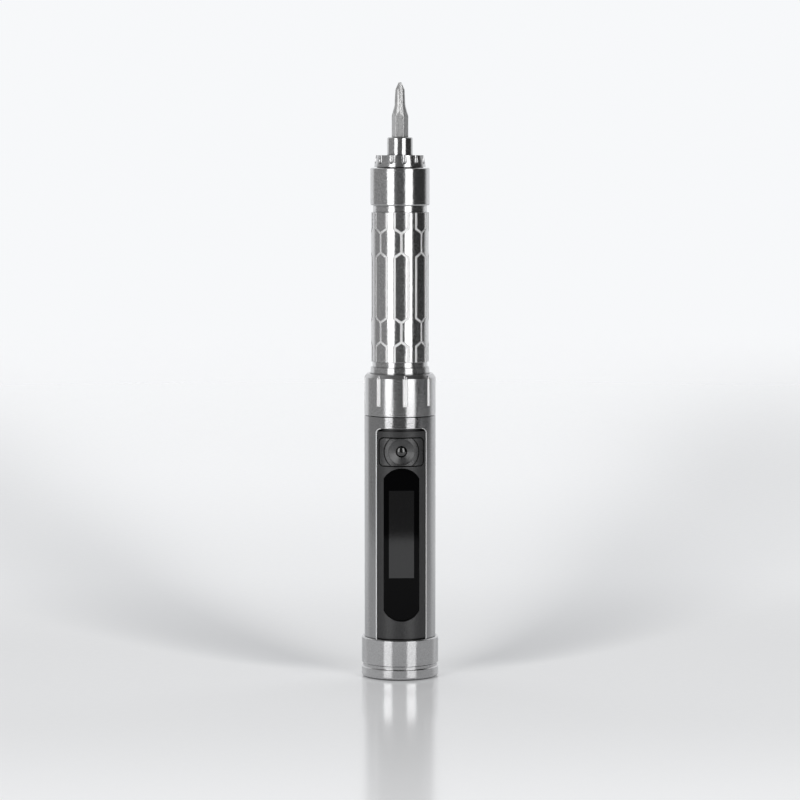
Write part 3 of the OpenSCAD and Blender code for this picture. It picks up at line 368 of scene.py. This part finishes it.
SLOT_LOOK = {
    "satin_metal": "turned", "button_metal": "button", "panel_plastic": "panel", "lens_black": "lens",
    "display_glass": "display", "black_plastic": "black", "board": "board", "ribbon_film": "film",
    "battery_wrap": "wrap", "lead_sleeve": "sleeve", "nickel": "nickel", "steel": "steel", "bit_steel": "bit",
    "bronze": "bronze", "copper_wire": "copper", "magnet": "magnet",
}
# these nodes have a look of their own in place of their slot's
NODE_LOOK = {
    "body_tube": "tube", "tail_cap": "cap", "coupling_nut": "nut", "button_bead": "bead",
    "grip_sleeve": "grip",
}
for part in frame["record"]["subparts"]:
    look = NODE_LOOK.get(part["node"], SLOT_LOOK[part["material_slot"]])
    mesh = nodes[part["node"]].data
    mesh.materials.clear()
    mesh.materials.append(MATERIALS[look])


# ---------------------------------------------------------------- pieces added here
def add_piece(name, data, look):
    """Put a mesh or curve into the scene as a piece that rides the handle."""
    data.materials.append(MATERIALS[look])
    piece = bpy.data.objects.new(name, data)
    scene.collection.objects.link(piece)
    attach(piece, "handle")


def sheet(name, corners, front, thick, look):
    """A thin upright sheet whose face is at the depth front; the corners run round it."""
    count = len(corners)
    verts = [(x, front, z) for x, z in corners] + [(x, front + thick, z) for x, z in corners]
    faces = [tuple(range(count)), tuple(range(2 * count - 1, count - 1, -1))]
    faces += [(i, i + count, (i + 1) % count + count, (i + 1) % count) for i in range(count)]
    mesh = bpy.data.meshes.new(name)
    mesh.from_pydata(verts, [], faces)
    add_piece(name, mesh, look)


def rod(name, points, radius, look):
    """A thin round bead along a path."""
    curve = bpy.data.curves.new(name, "CURVE")
    curve.dimensions = "3D"
    curve.bevel_depth = radius
    curve.bevel_resolution = 3
    spline = curve.splines.new("POLY")
    spline.points.add(len(points) - 1)
    for point, place in zip(spline.points, points):
        point.co = (*place, 1)
    add_piece(name, curve, look)


# the screen, a hair in front of the lens's face
SCREEN_W, SCREEN_LOW, SCREEN_LEN = 0.0070, 0.0120, 0.0245
SCREEN_THICK, SCREEN_PROUD = 0.00004, 0.00002


def add_screen():
    lens_front, lens_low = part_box("lens")[0][1:]
    low = lens_low + SCREEN_LOW
    high = low + SCREEN_LEN
    half = SCREEN_W / 2
    corners = [(-half, low), (half, low), (half, high), (-half, high)]
    sheet("screen", corners, lens_front - SCREEN_PROUD, SCREEN_THICK, "screen")


# the broken edge of the window in the tube; each bead is sunk by a share of its radius
WINDOW_CORNER, CORNER_STEPS, EDGE_SINK = 0.0013, 8, 0.7
EDGE_LEFT, EDGE_RIGHT, EDGE_BELOW_CAP = 0.00017, 0.00012, 0.0003


def window_edge(name, way, radius):
    """One long edge and upper corner of the window, read off the front of the tube's outer face."""
    tube_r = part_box("body_tube")[1][0]
    cap_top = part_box("tail_cap")[1][2]
    middle = (cap_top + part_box("coupling_nut")[0][2]) / 2
    front = [v.co for v in nodes["body_tube"].data.vertices
             if v.co.y < 0 and abs(math.hypot(v.co.x, v.co.y) - tube_r) < TUBE_NEAR_R]
    half = min(abs(co.x) for co in front if co.z < middle)
    top = min(co.z for co in front if co.z > middle and abs(co.x) < half / 2)
    outline = [(way * half, cap_top - EDGE_BELOW_CAP)]
    for step in range(CORNER_STEPS + 1):
        turn = math.radians(90 * step / CORNER_STEPS)
        outline.append((way * (half - WINDOW_CORNER + WINDOW_CORNER * math.cos(turn)),
                        top - WINDOW_CORNER + WINDOW_CORNER * math.sin(turn)))
    points = [(x, -math.sqrt(tube_r ** 2 - x ** 2) + radius * EDGE_SINK, z) for x, z in outline]
    rod(name, points, radius, "cut")


add_screen()
window_edge("window_edge_left", -1, EDGE_LEFT)
window_edge("window_edge_right", 1, EDGE_RIGHT)

# ---------------------------------------------------------------- floor
# a gloss board that ends in front of the tool and beside it, and fades into the pale studio farther off;
# a pair of places is where a change starts and where it is complete
PALE = (0.93, 0.94, 0.955, 1)
FLOOR_SIZE, FLOOR_EDGE, FLOOR_HALF = 6, -0.33, 0.32
EDGE_SOFT, SIDE_SOFT, RIGHT_FADE, FLOOR_FADE = 0.015, 0.02, 4, (0.5, 1.7)
FLOOR_GRAIN, FLOOR_DETAIL, FLOOR_MATT = 400, 2, 0.28
# from the smoothest spots to the roughest
FLOOR_ROUGH = (0.11, 0.15)
# the floor's own colour, and its colour in the painted shadows
FLOOR_LIGHT, FLOOR_SHADOW = (0.90, 0.905, 0.915, 1), (0.68, 0.69, 0.71, 1)
# the pale V behind the tool, between two painted shadows: where it starts, how it opens, and the painted
# shadows along its edges
V_NEAR, V_LONG, V_OPEN = 0.012, 0.88, 0.0334
SHADOW_INNER, SHADOW_OUTER, SHADOW_START, SHADOW_END = (0.08, 0.95), (3.6, 1.05), (0.0, 0.03), (1.3, 0.02)
# the painted shadows are weaker out at the sides
WING_SIDE, WING_END, WING_SHARE = (0.07, 0.15), (0.9, 0.3), 0.5
CENTRE_SIDE, CENTRE_START, CENTRE_DEPTH = (0.2, 1.3), (0.0, 0.05), (0.02, 0.6)
# the floor's glow, with less of it round the tool's foot and along the V's edges as painted shadow, and more
# inside the V as painted light
GLOW, GLOW_V_LIGHT, GLOW_FOOT_SHADOW, GLOW_SHADOW = 0.31, 0.17, 0.13, 0.06
FOOT_FRONT, FOOT_BACK = (-0.22, -0.06), (0.22, 0.04)


def floor_sideways(tree, pos):
    """How far a point is out to the side: 0 in the middle of the V and about 1 at its edge."""
    behind = math_node(tree, "MAXIMUM", pos["Y"], V_NEAR)
    width = product(tree, behind, math_node(tree, "ADD", behind, V_LONG), V_OPEN)
    return math_node(tree, "DIVIDE", math_node(tree, "POWER", pos["X"], 2.0), width)


def floor_painted_shadows(tree, pos, side):
    """The two painted shadows along the edges of the V."""
    shadow = product(tree, smooth(tree, side, *SHADOW_INNER), smooth(tree, side, *SHADOW_OUTER),
                   smooth(tree, pos["Y"], *SHADOW_END), smooth(tree, pos["Y"], *SHADOW_START))
    outward = math_node(tree, "ABSOLUTE", pos["X"])
    wing = product(tree, smooth(tree, outward, *WING_SIDE), smooth(tree, pos["Y"], *WING_END))
    return product(tree, shadow, less(tree, 1.0, product(tree, wing, WING_SHARE)))


# the floor's glow: painted shadow at the tool's foot and along the V's edges, and painted light inside the V
def floor_glow(tree, pos, side, painted_shadows):
    outer = product(tree, smooth(tree, side, *CENTRE_SIDE), smooth(tree, pos["Y"], *CENTRE_START))
    v_light = product(tree, less(tree, 1.0, outer), smooth(tree, pos["Y"], *CENTRE_DEPTH))
    foot_shadow = product(tree, smooth(tree, pos["Y"], *FOOT_FRONT), smooth(tree, pos["Y"], *FOOT_BACK))
    glow = math_node(tree, "ADD", product(tree, v_light, GLOW_V_LIGHT),
                     less(tree, GLOW, product(tree, foot_shadow, GLOW_FOOT_SHADOW)))
    return less(tree, glow, product(tree, painted_shadows, GLOW_SHADOW))


def floor_gone(tree, pos):
    """Where the floor is no longer there: past its front and side edges, and farther off all round."""
    left = smooth(tree, pos["X"], -FLOOR_HALF + SIDE_SOFT, -FLOOR_HALF - SIDE_SOFT)
    right = smooth(tree, pos["X"], FLOOR_HALF, FLOOR_HALF * RIGHT_FADE)
    front = smooth(tree, pos["Y"], FLOOR_EDGE + EDGE_SOFT, FLOOR_EDGE - EDGE_SOFT)
    edges = math_node(tree, "MAXIMUM", front, math_node(tree, "MAXIMUM", left, right))
    far = math_node(tree, "SQRT", squared(tree, pos["X"], pos["Y"]))
    return math_node(tree, "MAXIMUM", smooth(tree, far, *FLOOR_FADE), edges)


def mixed(tree, fac, first, second):
    """Two shaders, changed from the first to the second by fac."""
    node = add(tree, "ShaderNodeMixShader")
    put(tree, fac, node.inputs["Fac"])
    link(tree, first, node.inputs[1])
    link(tree, second, node.inputs[2])
    return node.outputs["Shader"]


def floor_material():
    mat, tree, bsdf = new_material("floor")
    pos = axes(tree, add(tree, "ShaderNodeNewGeometry").outputs["Position"])
    side = floor_sideways(tree, pos)
    painted_shadows = floor_painted_shadows(tree, pos, side)
    # the floor's colour, darker along the V's edges as painted shadow
    tone = blended(tree, painted_shadows, FLOOR_LIGHT, FLOOR_SHADOW)
    link(tree, tone, bsdf.inputs["Base Color"])
    link(tree, ramp(tree, noise(tree, FLOOR_GRAIN, FLOOR_DETAIL), *FLOOR_ROUGH), bsdf.inputs["Roughness"])
    bsdf.inputs["Emission Color"].default_value = PALE
    link(tree, floor_glow(tree, pos, side, painted_shadows), bsdf.inputs["Emission Strength"])
    matt = add(tree, "ShaderNodeBsdfDiffuse")
    link(tree, tone, matt.inputs["Color"])
    solid = mixed(tree, FLOOR_MATT, bsdf.outputs["BSDF"], matt.outputs["BSDF"])
    clear = add(tree, "ShaderNodeBsdfTransparent")
    faded = mixed(tree, floor_gone(tree, pos), solid, clear.outputs["BSDF"])
    link(tree, faded, tree.nodes["Material Output"].inputs["Surface"])
    return mat


def add_floor():
    bpy.ops.mesh.primitive_plane_add(size=FLOOR_SIZE, location=(0, 0, 0))
    floor = bpy.context.object
    floor.name = "floor"
    floor.data.materials.append(floor_material())


add_floor()

# ---------------------------------------------------------------- lamps
STRIP_DIST, STRIP_TOP, STRIP_RADIANCE = 0.75, 0.9, 2.6


def strip(name, angle, width):
    """A tall soft box that stands on the floor and faces the tool."""
    light = bpy.data.lights.new(name, "AREA")
    light.shape = "RECTANGLE"
    light.size = width
    light.size_y = STRIP_TOP
    light.energy = STRIP_RADIANCE * math.pi * width * STRIP_TOP
    lamp = bpy.data.objects.new(name, light)
    scene.collection.objects.link(lamp)
    lamp.location = around(angle, STRIP_DIST, STRIP_TOP / 2)
    aim = Vector((0, 0, STRIP_TOP / 2)) - lamp.location
    lamp.rotation_euler = aim.to_track_quat("-Z", "Y").to_euler()


strip("strip_left", -36.5, 0.33)
strip("strip_right", 35.0, 0.37)

# ---------------------------------------------------------------- studio
# the grey of the studio round the tool, by the angle from the camera towards the picture's right; it is
# pale behind the tool and dark in front of it
BACK_GREY = 0.9
GREYS = ((-132, 0.85), (-118, 0.36), (-52, 0.34), (-22, 0.13), (20, 0.11), (52, 0.035), (110, 0.05),
         (130, 0.8))
CEILING, CEILING_RISE = (0.12, 0.12, 0.12, 1), (0.72, 0.97)
BEHIND = (0.45, 0.75)


def studio_greys(tree, toward):
    """The grey in each direction round the tool; the camera's direction is the middle of the scale."""
    angle = math_node(tree, "ARCTAN2", toward["X"], product(tree, toward["Y"], -1.0))
    turn = math_node(tree, "ADD", math_node(tree, "DIVIDE", angle, 2 * math.pi), 0.5)
    scale = add(tree, "ShaderNodeValToRGB")
    elements = scale.color_ramp.elements
    for end in elements:
        end.color = (BACK_GREY, BACK_GREY, BACK_GREY, 1)
    for degrees, grey in GREYS:
        elements.new(degrees / 360 + 0.5).color = (grey, grey, grey, 1)
    link(tree, turn, scale.inputs["Fac"])
    return scale.outputs["Color"]


def add_studio():
    world = bpy.data.worlds.new("studio")
    scene.world = world
    world.use_nodes = True
    tree = world.node_tree
    turned = add(tree, "ShaderNodeMapping", Rotation=(0, 0, -AZ))
    link(tree, add(tree, "ShaderNodeTexCoord").outputs["Generated"], turned.inputs["Vector"])
    toward = axes(tree, turned.outputs["Vector"])
    sky = blended(tree, smooth(tree, toward["Z"], *CEILING_RISE), studio_greys(tree, toward), CEILING)
    path = add(tree, "ShaderNodeLightPath")
    seen = math_node(tree, "MAXIMUM", path.outputs["Is Camera Ray"], path.outputs["Is Transmission Ray"])
    # polished metal mirrors the same pale background where it turns away from the camera
    mirrored = product(tree, path.outputs["Is Glossy Ray"], smooth(tree, toward["Y"], *BEHIND))
    pale = blended(tree, math_node(tree, "MAXIMUM", seen, mirrored), sky, PALE)
    link(tree, pale, tree.nodes["Background"].inputs["Color"])


add_studio()

# ---------------------------------------------------------------- end
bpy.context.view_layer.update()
import json
